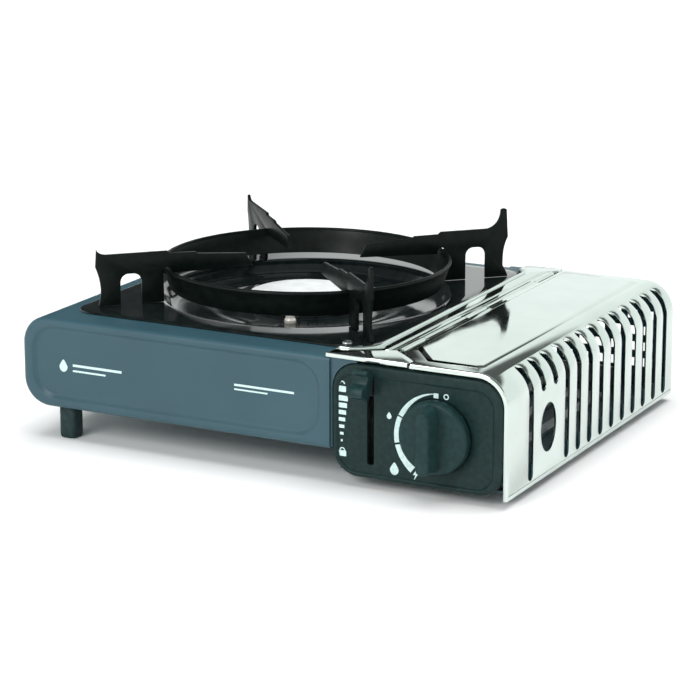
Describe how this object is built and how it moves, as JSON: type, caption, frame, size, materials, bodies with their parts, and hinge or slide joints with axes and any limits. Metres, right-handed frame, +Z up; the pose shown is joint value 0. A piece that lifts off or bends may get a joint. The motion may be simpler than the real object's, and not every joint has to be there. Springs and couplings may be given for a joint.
{
  "type": "camping stove",
  "caption": "Portable table-top gas stove with a lift-off pan support over a burner, a hinged cartridge lid, a control knob and a lock lever.",
  "frame": {"origin": "on the surface that the feet stand on, at the centre of the bounding box", "axes": "+X to the user's right, along the width; +Y away from the user, from the control panel to the rear; +Z up"},
  "size_m": [0.34, 0.29, 0.1281],
  "materials": {
    "blue_paint": "satin paint on pressed steel",
    "black_enamel": "glossy vitreous enamel",
    "chrome_sheet": "bright plated steel",
    "black_plastic": "fine moulded grain",
    "zinc_steel": "zinc plated",
    "cast_alloy": "as cast",
    "brass_fitting": "turned",
    "black_rubber": "moulded",
    "white_ceramic": "glazed"
  },
  "bodies": {
    "stove": {"casing": "blue_paint", "bay_tub": "blue_paint", "drip_tray": "black_enamel", "top_strip": "chrome_sheet", "fascia": "black_plastic", "piezo_igniter": "black_plastic", "bay_partition": "zinc_steel", "bulkhead": "zinc_steel", "cartridge_rest": "zinc_steel", "hinge_pin": "zinc_steel", "burner_bracket": "zinc_steel", "lever_pivot_pin": "zinc_steel", "tray_screw_1": "zinc_steel", "tray_screw_2": "zinc_steel", "regulator_post_1": "zinc_steel", "regulator_post_2": "zinc_steel", "spark_electrode": "zinc_steel", "regulator": "cast_alloy", "mixing_tube": "cast_alloy", "burner_base": "cast_alloy", "burner_head": "cast_alloy", "burner_cap": "cast_alloy", "cartridge_connector": "brass_fitting", "jet": "brass_fitting", "foot_front_left": "black_rubber", "foot_rear_left": "black_rubber", "foot_front_right": "black_rubber", "foot_rear_right": "black_rubber", "connector_seal": "black_rubber", "igniter_lead": "black_rubber", "electrode_insulator": "white_ceramic"},
    "lid": {"cartridge_lid": "chrome_sheet"},
    "knob": {"control_knob": "black_plastic", "valve_spindle": "zinc_steel"},
    "lever": {"lever_plate": "zinc_steel", "lever_grip": "black_plastic", "lever_drive_pin": "zinc_steel"},
    "carriage": {"carriage": "zinc_steel"},
    "pan_support": {"support_ring": "black_enamel", "support_arm_front_right": "black_enamel", "support_arm_rear_right": "black_enamel", "support_arm_rear_left": "black_enamel", "support_arm_front_left": "black_enamel"}
  },
  "joints": [
    {"name": "lid_hinge", "type": "hinge", "parent": "stove", "child": "lid", "pos_m": [0.086, 0.01, 0.08], "axis": [0, -1, 0], "range_deg": [0, 95]},
    {"name": "knob_turn", "type": "hinge", "parent": "stove", "child": "knob", "pos_m": [0.1233, -0.13, 0.0394], "axis": [0, -1, 0], "range_deg": [0, 155]},
    {"name": "lock_lever", "type": "hinge", "parent": "stove", "child": "lever", "pos_m": [0.079, -0.085, 0.0468], "axis": [1, 0, 0], "range_deg": [0, 37]},
    {"name": "carriage_slide", "type": "slide", "parent": "stove", "child": "carriage", "axis": [0, -1, 0], "range_m": [0, 0.009]},
    {"name": "support_lift", "type": "slide", "parent": "stove", "child": "pan_support", "axis": [0, 0, 1], "range_m": [0, 0.08]}
  ],
  "couplings": [
    {"joint": "carriage_slide", "follows": "lock_lever", "m_per_rad": 0.01376}
  ]
}
